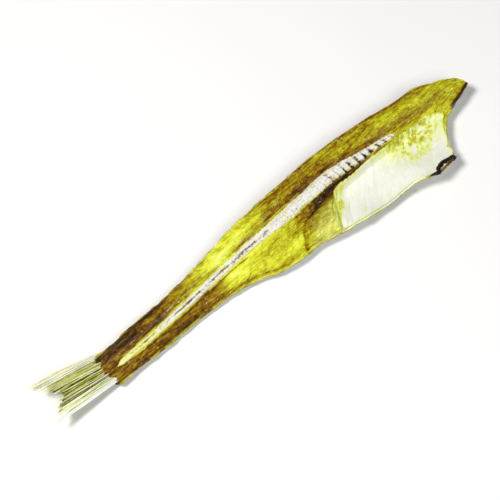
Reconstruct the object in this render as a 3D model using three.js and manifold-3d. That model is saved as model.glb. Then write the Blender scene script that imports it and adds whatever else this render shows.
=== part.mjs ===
// One half of a dried anchovy: beheaded, split lengthwise and dried flat, lying on its skin with the cut side up.
// The flesh is a loft through closed cross sections. The backbone's vertebrae, the rays of the tail fin and the
// shred of gut at the neck are solids of their own that have dried fast to it, so all are joined into one body.
//
// Millimetres, +Z up. X runs along the fish, from the tips of the tail fin towards the neck, and +Y is its back.
// Inside this file x is measured from the tips of the tail fin; the finished mesh is centred over the origin.

import * as THREE from "three";
import { LoftGeometry } from "three/addons/geometries/LoftGeometry.js";
import { mergeVertices } from "three/addons/utils/BufferGeometryUtils.js";
import Module from "manifold-3d";

const { clamp, lerp, smoothstep, seededRandom } = THREE.MathUtils;

// ---------------------------------------------------------------- driving dimensions

const TAIL_ROOT_X = 10.2; // the flesh ends here, under the roots of the fin rays
const NECK_TIP_X = 75; // the farthest point of the cut behind the head
const SPINE_FROM_X = 11.4;
const SPINE_TO_X = 62.4;
const VERTEBRAE = 42;

const BACK_EDGE = [
  [10.2, 2.1], [13, 2.15], [17, 2.35], [21, 2.4], [25, 2.6], [30, 3.1], [37, 3.8], [44, 4.05], [50, 4.1],
  [56, 3.75], [60, 3.3], [65, 2.4], [68.8, 1.95], [71.2, 0.85], [74.1, -0.95], [75, -2.35],
];
const BELLY_EDGE = [
  [10.2, -2.85], [13, -2.85], [17, -3.05], [21, -3], [25, -3.1], [30, -3.7], [33, -4.4], [36, -5.7], [39, -6.25],
  [42, -6.4], [45, -7.15], [50, -8.2], [54, -8.65], [58, -8.95], [60.3, -9.9], [62, -10.35], [64.5, -10.15],
  [66.4, -7.6], [68, -5.7], [69.7, -4.45], [71, -4.1], [73, -3.65], [75, -3.1],
];
const SPINE_LINE = [
  [10.2, -0.75], [16, -0.65], [22, -0.45], [30, -0.12], [36, 0], [45, 0.05], [50, 0.2], [53, -0.1],
  [56, -0.5], [59, -0.85], [62.4, -1.3], [75, -2.85],
];
const CAVITY_ROOF = [[46, -2.3], [51, -1.75], [57, -1.75], [62.4, -2.1], [68.4, -2.5], [71, -3.9], [75, -5]];
const BACK_THICKNESS = [[10.2, 0.5], [12, 0.95], [17, 1.5], [30, 1.85], [44, 2.2], [58, 2.35], [68, 1.9], [75, 1.15]];
const VERTEBRA_RADIUS = [[11.4, 0.42], [20, 0.5], [33, 0.66], [47, 1], [54, 0.98], [62.4, 0.72]];

const GROOVE_SHARE = 0.62; // flesh left under the backbone, as a share of the back's thickness
const BELLY_MUSCLE_SHARE = 0.78;
const BELLY_WALL = 0.55;
const BACK_ROUNDING = 1.6;
const BELLY_ROUNDING = 1.1;
const WALL_ROUNDING = 0.3;
const NECK_ROUNDING = 0.45; // the cut behind the head is crisper than the dried edges
const NECK_CUT_X = 68.5;
const EDGE_HEIGHT = 0.4; // an edge's height within the thickness, as a share of it

const CAVITY_REAR_X = 47.5; // where the belly wall begins, measured at CAVITY_REAR_Y
const CAVITY_REAR_Y = -4.9;
const CAVITY_REAR_SLANT = 0.62;
// where the kidney lay, and the vent behind it
const VENT_SEAM = [[57, -1.5], [50, -1.15], [47, -1.8], [44.2, -2.45], [42.4, -3.5], [40.6, -6]];
const VENT_SEAM_DEPTH = 0.34;
const VENT_SEAM_HALF_WIDTH = 0.55;

const FLAT_BACK_Y = 1.2; // the strip of skin that the fish rests on
const FLAT_BELLY_Y = -2.2;
const FLAT_FROM_X = 20;
const FLAT_TO_X = 57;
const SIDE_SLOPE = 0.12; // the skin leaves that strip at this slope, sideways and lengthways
const END_SLOPE = 0.05;
const BACK_CURL = 0.05; // and curls up further by this much per square millimetre
const BELLY_CURL = 0.022;
const TAIL_RISE = 1.7;
const TAIL_CUP_TO = 8;
const TAIL_CUP = 0.0015; // the skin under the tail is hollowed along its length, so its sides stand higher
const NECK_RISE = 1.4;
const BELLY_WAVE = 0.38;
const BELLY_WAVE_LENGTH = 11;

const RAYS = 15;
const RAY_ROOT_X = 12.6;
const RAY_WIDTH = 0.42;
const RAY_THICKNESS = 0.34;
const FIN_FORK_X = 2.6; // the shortest rays, in the middle, end here
const FIN_TOP_Y = 4;
const FIN_BOTTOM_Y = -1.85;
const FIN_SPREAD = 0.6; // below 1, the rays spread mostly near their roots
const WEB_THICKNESS = 0.16;

const SECTIONS = [[TAIL_ROOT_X, 15], [FLAT_FROM_X, 54], [FLAT_TO_X, 27]]; // where each run begins, and its count
const BACK_STRIPS = 4;
const FLAT_STRIPS = 3;
const BELLY_STRIPS = 5;
const VERTEBRA_SIDES = 8;

// ---------------------------------------------------------------- shape of the fish

// A smooth function of x through a few [x, value] pairs, without overshoot.
function through(pairs) {
  const chord = (i) => (pairs[i + 1][1] - pairs[i][1]) / (pairs[i + 1][0] - pairs[i][0]);
  const slopes = pairs.map((_, i) => {
    if (i === 0 || i === pairs.length - 1) return chord(Math.max(0, Math.min(i, pairs.length - 2)));
    const before = chord(i - 1);
    const after = chord(i);
    return before * after <= 0 ? 0 : (2 * before * after) / (before + after);
  });
  return (x) => {
    const last = pairs.length - 2;
    const found = pairs.findIndex((_, i) => i <= last && x < pairs[i + 1][0]);
    const i = found < 0 ? last : found;
    const width = pairs[i + 1][0] - pairs[i][0];
    const t = clamp((x - pairs[i][0]) / width, 0, 1);
    const [t2, t3] = [t * t, t * t * t];
    return (
      pairs[i][1] * (2 * t3 - 3 * t2 + 1) +
      pairs[i + 1][1] * (3 * t2 - 2 * t3) +
      width * (slopes[i] * (t3 - 2 * t2 + t) + slopes[i + 1] * (t3 - t2))
    );
  };
}

const backEdge = through(BACK_EDGE);
const bellyEdge = through(BELLY_EDGE);
const spineY = through(SPINE_LINE);
const cavityRoof = through(CAVITY_ROOF);
const backThickness = through(BACK_THICKNESS);
const vertebraRadius = through(VERTEBRA_RADIUS);

// 0 outside the belly cavity, 1 where its thin wall is all that is left.
function cavity(x, y) {
  const rear = CAVITY_REAR_X + CAVITY_REAR_SLANT * (y - CAVITY_REAR_Y);
  return smoothstep(x, rear - 0.7, rear + 0.7) * smoothstep(cavityRoof(x) - y, -0.1, 0.9);
}

// How far a point lies from a line of [x, y] points.
function distanceTo(path, x, y) {
  const point = new THREE.Vector3(x, y, 0);
  const nearest = new THREE.Vector3();
  const legs = path.slice(1).map(([x1, y1], i) => {
    const leg = new THREE.Line3(new THREE.Vector3(...path[i], 0), new THREE.Vector3(x1, y1, 0));
    return leg.closestPointToPoint(point, true, nearest).distanceTo(point);
  });
  return Math.min(...legs);
}

// The rounding of an edge: 0 on it, 1 at its rounding's width inside.
function rounded(gap, edge, x, rounding) {
  const step = 0.6;
  const slope = (edge(x + step) - edge(x - step)) / (2 * step);
  const distance = gap / Math.hypot(1, slope);
  return Math.sqrt(1 - (1 - clamp(distance / rounding, 0, 1)) ** 2);
}

function fullThickness(x, y) {
  const back = backThickness(x);
  const side = y - spineY(x);
  const lobe = side > 0 ? 1 : BELLY_MUSCLE_SHARE;
  const muscle = back * lerp(GROOVE_SHARE, lobe, smoothstep(Math.abs(side), 0.3, side > 0 ? 1.7 : 1.3));
  const seam = 1 - smoothstep(distanceTo(VENT_SEAM, x, y), 0, VENT_SEAM_HALF_WIDTH);
  return lerp(muscle, BELLY_WALL, cavity(x, y)) - VENT_SEAM_DEPTH * seam * (1 - 0.6 * cavity(x, y));
}

// Height of the skin above the table: flat under the backbone, and curled up towards every edge.
function skinHeight(x, y) {
  const toBack = Math.max(0, y - FLAT_BACK_Y);
  const toBelly = Math.max(0, FLAT_BELLY_Y - y);
  const toTail = Math.max(0, FLAT_FROM_X - x);
  const toNeck = Math.max(0, x - FLAT_TO_X);
  const wave = Math.sin((2 * Math.PI * (x - 2)) / BELLY_WAVE_LENGTH) * smoothstep(toBelly, 1, 6);
  return (
    SIDE_SLOPE * (toBack + toBelly) +
    END_SLOPE * (toTail + toNeck) +
    BACK_CURL * toBack ** 2 +
    BELLY_CURL * toBelly ** 2 +
    BELLY_WAVE * wave * smoothstep(x, 38, 48) +
    TAIL_RISE * (toTail / FLAT_FROM_X) ** 2 +
    TAIL_CUP * Math.min(toTail, TAIL_CUP_TO) * (y - (FLAT_BACK_Y + FLAT_BELLY_Y) / 2) ** 2 +
    NECK_RISE * (toNeck / (NECK_TIP_X - FLAT_TO_X)) ** 2
  );
}

// How far the edges round off one face over a point, from 0 on an edge to 1 inside: share is of the full rounding.
function edging(x, y, share) {
  const belly = lerp(BELLY_ROUNDING, NECK_ROUNDING, smoothstep(x, NECK_CUT_X, NECK_CUT_X + 1));
  const bellyRounding = lerp(belly, WALL_ROUNDING, cavity(x, y));
  return (
    rounded(backEdge(x) - y, backEdge, x, share * BACK_ROUNDING) *
    rounded(y - bellyEdge(x), bellyEdge, x, share * bellyRounding)
  );
}

// The two faces of the flesh over one point: { under, top }.
function faces(x, y) {
  const full = fullThickness(x, y);
  const edgeHeight = skinHeight(x, y) + EDGE_HEIGHT * full;
  return {
    under: edgeHeight - EDGE_HEIGHT * full * edging(x, y, 0.6),
    top: edgeHeight + (1 - EDGE_HEIGHT) * full * edging(x, y, 1),
  };
}

// ---------------------------------------------------------------- the pieces

// Values from one end towards the other, which is left out; they lie closer together near the first.
function spread(from, to, count, crowding) {
  return Array.from({ length: count }, (_, k) => lerp(from, to, (k / count) ** crowding));
}

// Where the strips of a section meet, from back to belly. Two of them run along the edges of the flat strip.
function seams(x) {
  const [back, belly] = [backEdge(x), bellyEdge(x)];
  const high = clamp(FLAT_BACK_Y, lerp(belly, back, 0.3), lerp(belly, back, 0.9));
  const low = clamp(FLAT_BELLY_Y, lerp(belly, back, 0.1), high - 0.2 * (back - belly));
  return [
    ...spread(back, high, BACK_STRIPS, 1.6),
    ...spread(high, low, FLAT_STRIPS, 1),
    low,
    ...spread(belly, low, BELLY_STRIPS, 1.6).reverse(),
  ];
}

// A closed ring round the fish at x: over the cut face from back to belly, then home along the skin.
function fleshSection(x) {
  const ys = seams(x);
  const over = ys.map((y) => new THREE.Vector3(x, y, faces(x, y).top));
  const home = ys.slice(1, -1).map((y) => new THREE.Vector3(x, y, faces(x, y).under));
  return [...over, ...home.reverse()];
}

function flesh() {
  const xs = SECTIONS.flatMap(([from, count], i) => spread(from, SECTIONS[i + 1]?.[0] ?? NECK_TIP_X, count, 1));
  return new LoftGeometry([...xs, NECK_TIP_X].map(fleshSection), { capStart: true, capEnd: true });
}

// One vertebra is an hourglass lying along X, half sunk in its groove; it just bites into the next one.
function vertebra(index) {
  const pitch = (SPINE_TO_X - SPINE_FROM_X) / VERTEBRAE;
  const x = SPINE_FROM_X + pitch * (index + 0.5);
  const y = spineY(x);
  const radius = vertebraRadius(x);
  const half = pitch * 0.52;
  const profile = [[0, -half], [radius, -half], [radius, -half * 0.7], [radius * 0.78, 0], [radius, half * 0.7]];
  const outline = [...profile, [radius, half], [0, half]].map(([r, h]) => new THREE.Vector2(r, h));
  const heading = Math.atan2(spineY(x + 1) - spineY(x - 1), 2);
  return new THREE.LatheGeometry(outline, VERTEBRA_SIDES)
    .rotateZ(-Math.PI / 2)
    .scale(1, 1, 0.8)
    .rotateZ(heading)
    .translate(x, y, faces(x, y).top + radius * 0.12);
}

// A strip of oval section along a list of { at, width, thickness }: the ray of a fin, or a shred.
function strip(stations, sides) {
  const sections = stations.map(({ at, width, thickness }, i) => {
    const ahead = stations[Math.min(i + 1, stations.length - 1)].at;
    const behind = stations[Math.max(i - 1, 0)].at;
    const side = new THREE.Vector3(behind.y - ahead.y, ahead.x - behind.x, 0).normalize();
    const ring = [];
    for (let k = 0; k < sides; k++) {
      const angle = (2 * Math.PI * k) / sides;
      const point = at.clone().addScaledVector(side, (width / 2) * Math.cos(angle));
      point.z += (thickness / 2) * Math.sin(angle);
      ring.push(point);
    }
    return ring;
  });
  return new LoftGeometry(sections, { capStart: true, capEnd: true });
}

// Where a ray of the fin runs: share 0 is the lowest ray and 1 the highest, along 0 its root and 1 its end.
function rayEnd(share) {
  const fork = 1 - Math.abs(2 * share - 1) ** 1.4;
  return lerp(-0.6, FIN_FORK_X, fork);
}

function rayPoint(share, along, endX) {
  const x = lerp(RAY_ROOT_X, endX, along);
  const rootY = lerp(bellyEdge(RAY_ROOT_X) + 0.25, backEdge(RAY_ROOT_X) - 0.25, share);
  const tipY = lerp(FIN_BOTTOM_Y, FIN_TOP_Y, share);
  const y = lerp(rootY, tipY, along ** FIN_SPREAD);
  return new THREE.Vector3(x, y, skinHeight(x, y) + lerp(0.62, 0.2, along));
}

function ray(index) {
  const share = index / (RAYS - 1);
  const stray = seededRandom(index + 1) - 0.5;
  const endX = rayEnd(share) + 1.1 * stray;
  const stations = [0, 0.35, 0.7, 1].map((along) => {
    const at = rayPoint(share, along, endX);
    at.y += 0.28 * stray * along ** 2;
    at.z += 0.14 * (index % 2) * along;
    return { at, width: RAY_WIDTH * lerp(0.8, 1, along), thickness: RAY_THICKNESS * lerp(1.5, 0.6, along) };
  });
  return strip(stations, 4);
}

// The skin between the rays, which stops short of their ends.
function finWeb() {
  const sections = [];
  for (let i = 0; i <= 6; i++) {
    const over = [];
    const home = [];
    for (let j = 0; j <= 6; j++) {
      const share = lerp(0.02, 0.98, j / 6);
      const at = rayPoint(share, 0.9 * (1 - i / 6), rayEnd(share));
      over.unshift(at.clone().add(new THREE.Vector3(0, 0, WEB_THICKNESS / 2)));
      home.push(at.clone().sub(new THREE.Vector3(0, 0, WEB_THICKNESS / 2)));
    }
    sections.push([...over, ...home]);
  }
  return new LoftGeometry(sections, { capStart: true, capEnd: true });
}

// The dark remains of the gut, stuck along the lower corner of the belly wall.
function gutShred() {
  const route = [
    [60, -9.5, 0.25], [60.7, -9.95, 0.4], [61.3, -10.15, 0.7], [62, -9.8, 0.95], [63, -9.55, 0.9], [64.1, -9.7, 0.85],
    [64.9, -9.9, 0.75], [65.25, -9.95, 0.4],
  ];
  return strip(
    route.map(([x, y, width]) => ({
      at: new THREE.Vector3(x, y, faces(x, y + 0.25).top + 0.05),
      width,
      thickness: 0.8 * width,
    })),
    8,
  );
}

// ---------------------------------------------------------------- joining into one body

const wasm = await Module();
wasm.setup();

function solid(geometry) {
  geometry.deleteAttribute("normal");
  geometry.deleteAttribute("uv");
  const merged = mergeVertices(geometry.toNonIndexed(), 1e-4);
  return new wasm.Manifold(
    new wasm.Mesh({
      numProp: 3,
      vertProperties: merged.getAttribute("position").array,
      triVerts: new Uint32Array(merged.index.array),
    }),
  );
}

function geometryOf(body) {
  const { vertProperties, triVerts } = body.getMesh();
  const geometry = new THREE.BufferGeometry();
  geometry.setAttribute("position", new THREE.BufferAttribute(vertProperties, 3));
  geometry.setIndex(new THREE.BufferAttribute(triVerts, 1));
  geometry.computeVertexNormals();
  return geometry;
}

function halfFish() {
  let body = solid(flesh());
  for (let i = 0; i < VERTEBRAE; i++) body = body.add(solid(vertebra(i)));
  let fin = solid(finWeb());
  for (let i = 0; i < RAYS; i++) fin = fin.add(solid(ray(i)));
  return geometryOf(body.add(fin).add(solid(gutShred())));
}

const driedFlesh = new THREE.MeshStandardMaterial({ color: 0xb49a20, roughness: 0.45, metalness: 0 });
const fish = new THREE.Mesh(halfFish(), driedFlesh);
fish.name = "split_anchovy";

// The box of the finished fish stands on the origin, at the middle of its underside.
fish.geometry.computeBoundingBox();
const { min, max } = fish.geometry.boundingBox;
fish.position.set(-(min.x + max.x) / 2, -(min.y + max.y) / 2, -min.z);

const part = new THREE.Group();
part.add(fish);

export default part;
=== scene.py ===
"""One half of a dried anchovy: beheaded, gutted, split along the backbone and dried, lying on its skin.

Every piece is worked out in millimetres in the fish's own axes: X from the tips of the tail fin to the neck,
Y from the belly to the back, and Z up from the table. in_frame() turns finished points into metres in the
row's frame.
"""

import math

import bpy
import numpy as np
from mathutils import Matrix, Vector


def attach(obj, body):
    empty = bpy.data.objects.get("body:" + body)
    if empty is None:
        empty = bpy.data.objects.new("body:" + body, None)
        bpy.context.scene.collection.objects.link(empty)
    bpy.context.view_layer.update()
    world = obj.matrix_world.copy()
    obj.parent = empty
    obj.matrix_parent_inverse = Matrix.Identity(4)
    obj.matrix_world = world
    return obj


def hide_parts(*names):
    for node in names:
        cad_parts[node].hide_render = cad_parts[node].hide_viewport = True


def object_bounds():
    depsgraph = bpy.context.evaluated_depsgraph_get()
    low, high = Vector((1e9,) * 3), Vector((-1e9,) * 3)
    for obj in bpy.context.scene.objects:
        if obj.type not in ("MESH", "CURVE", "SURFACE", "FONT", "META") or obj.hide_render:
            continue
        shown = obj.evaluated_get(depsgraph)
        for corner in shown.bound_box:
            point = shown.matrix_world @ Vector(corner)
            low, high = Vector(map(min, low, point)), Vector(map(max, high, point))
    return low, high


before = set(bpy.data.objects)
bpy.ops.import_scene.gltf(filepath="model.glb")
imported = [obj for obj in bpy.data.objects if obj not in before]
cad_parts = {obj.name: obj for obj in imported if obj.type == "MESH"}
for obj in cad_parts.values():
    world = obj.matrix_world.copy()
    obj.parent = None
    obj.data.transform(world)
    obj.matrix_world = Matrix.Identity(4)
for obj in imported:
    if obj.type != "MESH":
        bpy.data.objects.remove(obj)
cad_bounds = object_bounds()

bl_info = {
    "name": "Dried anchovy half",
    "version": (1, 0, 0),
    "blender": (4, 5, 0),
    "location": "3D View > Sidebar > Anchovy",
    "description": "Builds one half of a split dried anchovy over its packed solid",
    "category": "Mesh",
}

MM = 0.001
NODE = "split_anchovy"
ORIGIN = (37.04628, -3.18098, 0.0)  # the row's origin, in the fish's own axes
FIBRE_ANGLE = math.radians(46)  # the fibres of the belly wall slant back from the backbone by this much
FIBRE_X, FIBRE_Y = math.cos(FIBRE_ANGLE), math.sin(FIBRE_ANGLE)

# ---------------------------------------- shape, in millimetres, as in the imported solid

TAIL_ROOT_X = 10.2
NECK_TIP_X = 75.0
SPINE_FROM_X = 11.4
SPINE_TO_X = 62.4
VERTEBRAE = 42

BACK_EDGE = [
    (10.2, 2.1), (13, 2.15), (17, 2.35), (21, 2.4), (25, 2.6), (30, 3.1), (37, 3.8), (44, 4.05), (50, 4.1),
    (56, 3.75), (60, 3.3), (65, 2.4), (68.8, 1.95), (71.2, 0.85), (74.1, -0.95), (75, -2.35),
]
BELLY_EDGE = [
    (10.2, -2.85), (13, -2.85), (17, -3.05), (21, -3), (25, -3.1), (30, -3.7), (33, -4.4), (36, -5.7),
    (39, -6.25), (42, -6.4), (45, -7.15), (50, -8.2), (54, -8.65), (58, -8.95), (60.3, -9.9), (62, -10.35),
    (64.5, -10.15), (66.4, -7.6), (68, -5.7), (69.7, -4.45), (71, -4.1), (73, -3.65), (75, -3.1),
]
SPINE_LINE = [
    (10.2, -0.75), (16, -0.65), (22, -0.45), (30, -0.12), (36, 0), (45, 0.05), (50, 0.2), (53, -0.1),
    (56, -0.5), (59, -0.85), (62.4, -1.3), (75, -2.85),
]
CAVITY_ROOF = [(46, -2.3), (51, -1.75), (57, -1.75), (62.4, -2.1), (68.4, -2.5), (71, -3.9), (75, -5)]
BACK_THICKNESS = [
    (10.2, 0.5), (12, 0.95), (17, 1.5), (30, 1.85), (44, 2.2), (58, 2.35), (68, 1.9), (75, 1.15),
]
VERTEBRA_RADIUS = [(11.4, 0.42), (20, 0.5), (33, 0.66), (47, 1), (54, 0.98), (62.4, 0.72)]
VENT_SEAM = [(57, -1.5), (50, -1.15), (47, -1.8), (44.2, -2.45), (42.4, -3.5), (40.6, -6)]

GROOVE_SHARE = 0.62
BELLY_MUSCLE_SHARE = 0.78
BELLY_WALL = 0.55
BACK_ROUNDING = 1.6
BELLY_ROUNDING = 1.1
WALL_ROUNDING = 0.3
NECK_ROUNDING = 0.45
NECK_CUT_X = 68.5
EDGE_HEIGHT = 0.4
CAVITY_REAR_X = 47.5
CAVITY_REAR_Y = -4.9
CAVITY_REAR_SLANT = 0.62
VENT_SEAM_DEPTH = 0.34
VENT_SEAM_HALF_WIDTH = 0.55
FLAT_BACK_Y = 1.2
FLAT_BELLY_Y = -2.2
FLAT_FROM_X = 20.0
FLAT_TO_X = 57.0
SIDE_SLOPE = 0.12
END_SLOPE = 0.05
BACK_CURL = 0.05
BELLY_CURL = 0.022
TAIL_RISE = 1.7
TAIL_CUP_TO = 8.0
TAIL_CUP = 0.0015
NECK_RISE = 1.4
BELLY_WAVE = 0.38
BELLY_WAVE_LENGTH = 11.0
RAY_ROOT_X = 11.4
FIN_FORK_X = 2.6
FIN_TOP_Y = 4.0
FIN_BOTTOM_Y = -1.85
FIN_SPREAD = 0.6


def through(pairs):
    """A smooth function through a few (x, value) pairs, without overshoot."""
    xs, values = np.array(pairs, float).T
    chords = np.diff(values) / np.diff(xs)
    slopes = np.empty_like(xs)
    slopes[0], slopes[-1] = chords[0], chords[-1]
    before, after = chords[:-1], chords[1:]
    turning = before * after <= 0
    slopes[1:-1] = np.where(turning, 0, 2 * before * after / np.where(turning, 1, before + after))

    def value(x):
        i = np.clip(np.searchsorted(xs, x, side="right") - 1, 0, len(xs) - 2)
        width = xs[i + 1] - xs[i]
        t = np.clip((x - xs[i]) / width, 0, 1)
        return (
            values[i] * (2 * t**3 - 3 * t**2 + 1)
            + values[i + 1] * (3 * t**2 - 2 * t**3)
            + width * (slopes[i] * (t**3 - 2 * t**2 + t) + slopes[i + 1] * (t**3 - t**2))
        )

    return value


back_edge = through(BACK_EDGE)
belly_edge = through(BELLY_EDGE)
spine_y = through(SPINE_LINE)
cavity_roof = through(CAVITY_ROOF)
back_thickness = through(BACK_THICKNESS)
vertebra_radius = through(VERTEBRA_RADIUS)


def lerp(low, high, t):
    """Goes from low, at t = 0, to high, at t = 1."""
    return low + (high - low) * t


def smoothstep(value, low, high):
    """0 at low and 1 at high, with a smooth rise between them. It falls where low is over high."""
    t = np.clip((value - low) / (high - low), 0, 1)
    return t * t * (3 - 2 * t)


def positive(value):
    return np.maximum(0, value)


def near(distance, width):
    """1 at no distance, falling away over about the width."""
    return np.exp(-((distance / width) ** 2))


def noise(x, y, seed):
    """Smooth noise from -1 to 1 over the plane, the same on each run."""
    table = np.random.default_rng(seed).uniform(-1, 1, (256, 256))
    x, y = np.broadcast_arrays(np.asarray(x, float), np.asarray(y, float))
    column, row = np.floor(x).astype(int), np.floor(y).astype(int)
    right, up = smoothstep(x - column, 0, 1), smoothstep(y - row, 0, 1)

    def corner(i, j):
        return table[(column + i) % 256, (row + j) % 256]

    return lerp(lerp(corner(0, 0), corner(1, 0), right), lerp(corner(0, 1), corner(1, 1), right), up)


def blotches(x, y, seed, low, high):
    """Blotches from 0 to 1, where smooth noise rises from low to high."""
    return smoothstep(noise(x, y, seed), low, high)


def wobble(x, seed):
    """Smooth noise from -1 to 1 along a line."""
    return noise(x, 0.5, seed)


def cavity_rear(y):
    """X of the step at the rear of the belly cavity."""
    return CAVITY_REAR_X + CAVITY_REAR_SLANT * (y - CAVITY_REAR_Y)


def cavity(x, y):
    """0 outside the belly cavity, 1 where its thin wall is all that is left."""
    rear = cavity_rear(y)
    return smoothstep(x, rear - 0.7, rear + 0.7) * smoothstep(cavity_roof(x) - y, -0.1, 0.9)


def distance_to(path, x, y):
    """How far points lie from a line of (x, y) points."""
    nearest = np.full(np.broadcast(x, y).shape, np.inf)
    for (x0, y0), (x1, y1) in zip(path, path[1:]):
        dx, dy = x1 - x0, y1 - y0
        t = np.clip(((x - x0) * dx + (y - y0) * dy) / (dx * dx + dy * dy), 0, 1)
        nearest = np.minimum(nearest, np.hypot(x - x0 - t * dx, y - y0 - t * dy))
    return nearest


def edge_distance(gap, edge, x):
    """The distance to an edge, from the gap to it along Y."""
    step = 0.6
    return gap / np.hypot(1, (edge(x + step) - edge(x - step)) / (2 * step))


def from_back(x, y):
    return edge_distance(back_edge(x) - y, back_edge, x)


def from_belly(x, y):
    return edge_distance(y - belly_edge(x), belly_edge, x)


def rounded(distance, rounding):
    """A quarter circle: 0 on an edge, and 1 from the rounding's width on."""
    return np.sqrt(1 - (1 - np.clip(distance / rounding, 0, 1)) ** 2)


def full_thickness(x, y):
    """Thickness of the flesh before its edges are rounded off."""
    back = back_thickness(x)
    side = y - spine_y(x)
    lobe = np.where(side > 0, 1, BELLY_MUSCLE_SHARE)
    reach = smoothstep(np.abs(side), 0.3, np.where(side > 0, 1.7, 1.3))
    seam = 1 - smoothstep(distance_to(VENT_SEAM, x, y), 0, VENT_SEAM_HALF_WIDTH)
    inside = cavity(x, y)
    thickness = lerp(back * lerp(GROOVE_SHARE, lobe, reach), BELLY_WALL, inside)
    return thickness - VENT_SEAM_DEPTH * seam * (1 - 0.6 * inside)


def skin_height(x, y):
    """Height of the skin above the table: flat under the backbone, and curled up towards every edge."""
    to_back = positive(y - FLAT_BACK_Y)
    to_belly = positive(FLAT_BELLY_Y - y)
    to_tail = positive(FLAT_FROM_X - x)
    to_neck = positive(x - FLAT_TO_X)
    wave = np.sin(2 * np.pi * (x - 2) / BELLY_WAVE_LENGTH) * smoothstep(to_belly, 1, 6)
    return (
        SIDE_SLOPE * (to_back + to_belly)
        + END_SLOPE * (to_tail + to_neck)
        + BACK_CURL * to_back**2
        + BELLY_CURL * to_belly**2
        + BELLY_WAVE * wave * smoothstep(x, 38, 48)
        + TAIL_RISE * (to_tail / FLAT_FROM_X) ** 2
        + TAIL_CUP * np.minimum(to_tail, TAIL_CUP_TO) * (y - (FLAT_BACK_Y + FLAT_BELLY_Y) / 2) ** 2
        + NECK_RISE * (to_neck / (NECK_TIP_X - FLAT_TO_X)) ** 2
    )


def edging(x, y, share):
    """How far the edges round off one face over a point: 0 on an edge, 1 inside."""
    belly = lerp(BELLY_ROUNDING, NECK_ROUNDING, smoothstep(x, NECK_CUT_X, NECK_CUT_X + 1))
    belly = lerp(belly, WALL_ROUNDING, cavity(x, y))
    return rounded(from_back(x, y), share * BACK_ROUNDING) * rounded(from_belly(x, y), share * belly)


def faces_at(x, y):
    """Heights of the two faces of the flesh over a point: the skin side and the cut side."""
    full = full_thickness(x, y)
    edge = skin_height(x, y) + EDGE_HEIGHT * full
    return edge - EDGE_HEIGHT * full * edging(x, y, 0.6), edge + (1 - EDGE_HEIGHT) * full * edging(x, y, 1)


# ---------------------------------------- detail of the cut face

TONE_AT = (14, 19, 22, 27, 31, 38, 46, 54, 62, 72)  # places along X where the tones below hold
# Tones from 0, dark brown, to 1, pale yellow, in lanes from the belly edge at -1 to the back edge at 1.
# The browner flesh towards the tail is partly a painted cast shadow, whose edge is the sharp rise from x 27
# to x 31.
TONES = {
    -0.95: (0.22, 0.24, 0.26, 0.32, 0.60, 0.70, 0.62, 0.80, 0.83, 0.48),
    -0.6: (0.30, 0.32, 0.34, 0.42, 0.82, 0.72, 0.66, 0.86, 0.86, 0.52),
    -0.2: (0.34, 0.36, 0.40, 0.48, 0.86, 0.78, 0.38, 0.55, 0.80, 0.52),
    0.2: (0.22, 0.26, 0.52, 0.62, 0.88, 0.52, 0.23, 0.44, 0.38, 0.70),
    0.6: (0.12, 0.20, 0.48, 0.64, 0.92, 0.70, 0.28, 0.54, 0.53, 0.69),
    0.95: (0.10, 0.17, 0.26, 0.42, 0.76, 0.72, 0.35, 0.48, 0.45, 0.66),
}
TONE_LANES = [(place, through(list(zip(TONE_AT, tones)))) for place, tones in TONES.items()]
UNDER_GUT = [(60.4, -9.9), (65.4, -9.9)]  # the flesh is darker along this line, under the shred of gut
NECK_CUT = (70.1, 71.2)  # from the first X to the second, the belly edge turns into the cut of the neck, darkened with painted shade


def across(x, y):
    """Where a point lies: -1 on the belly edge, 0 on the backbone and 1 on the back edge."""
    side = y - spine_y(x)
    width = np.where(side > 0, back_edge(x) - spine_y(x), spine_y(x) - belly_edge(x))
    return np.clip(side / width, -1, 1)


def fibre_bundles(x, y):
    """The long bundles of the muscle, its strands and its single fibres: three reliefs from -1 to 1."""
    lane = 4.2 * across(x, y)
    bend = 0.5 * noise(x / 7, lane / 2, 50)
    return (
        noise(x / 8, lane / 1.1 + bend, 51),
        noise(x / 2.4, lane / 0.42 + bend, 52),
        noise(x / 1.1, lane / 0.15, 53),
    )


def wall_fibres(x, y):
    """Places across and along the fibres of the belly wall."""
    return x * FIBRE_Y - y * FIBRE_X, x * FIBRE_X + y * FIBRE_Y


def segment_seams(x, y, pitch):
    """1 on the slanting seams between the segments of the muscle, where they show."""
    side = y - spine_y(x)
    phase = (x + 0.75 * np.abs(side) + 0.8 * noise(x / 4, y / 1.2, 54)) / pitch
    shown = blotches(x / 4.5, y / 1.3, 55, -0.3, 0.6)
    return near(phase - np.round(phase), 0.15) * shown


def backbone_radius(x):
    """The backbone sinks into the flesh towards the neck, so less of its width shows."""
    return vertebra_radius(x) * lerp(1, 0.70, smoothstep(x, 51, 61))


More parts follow.
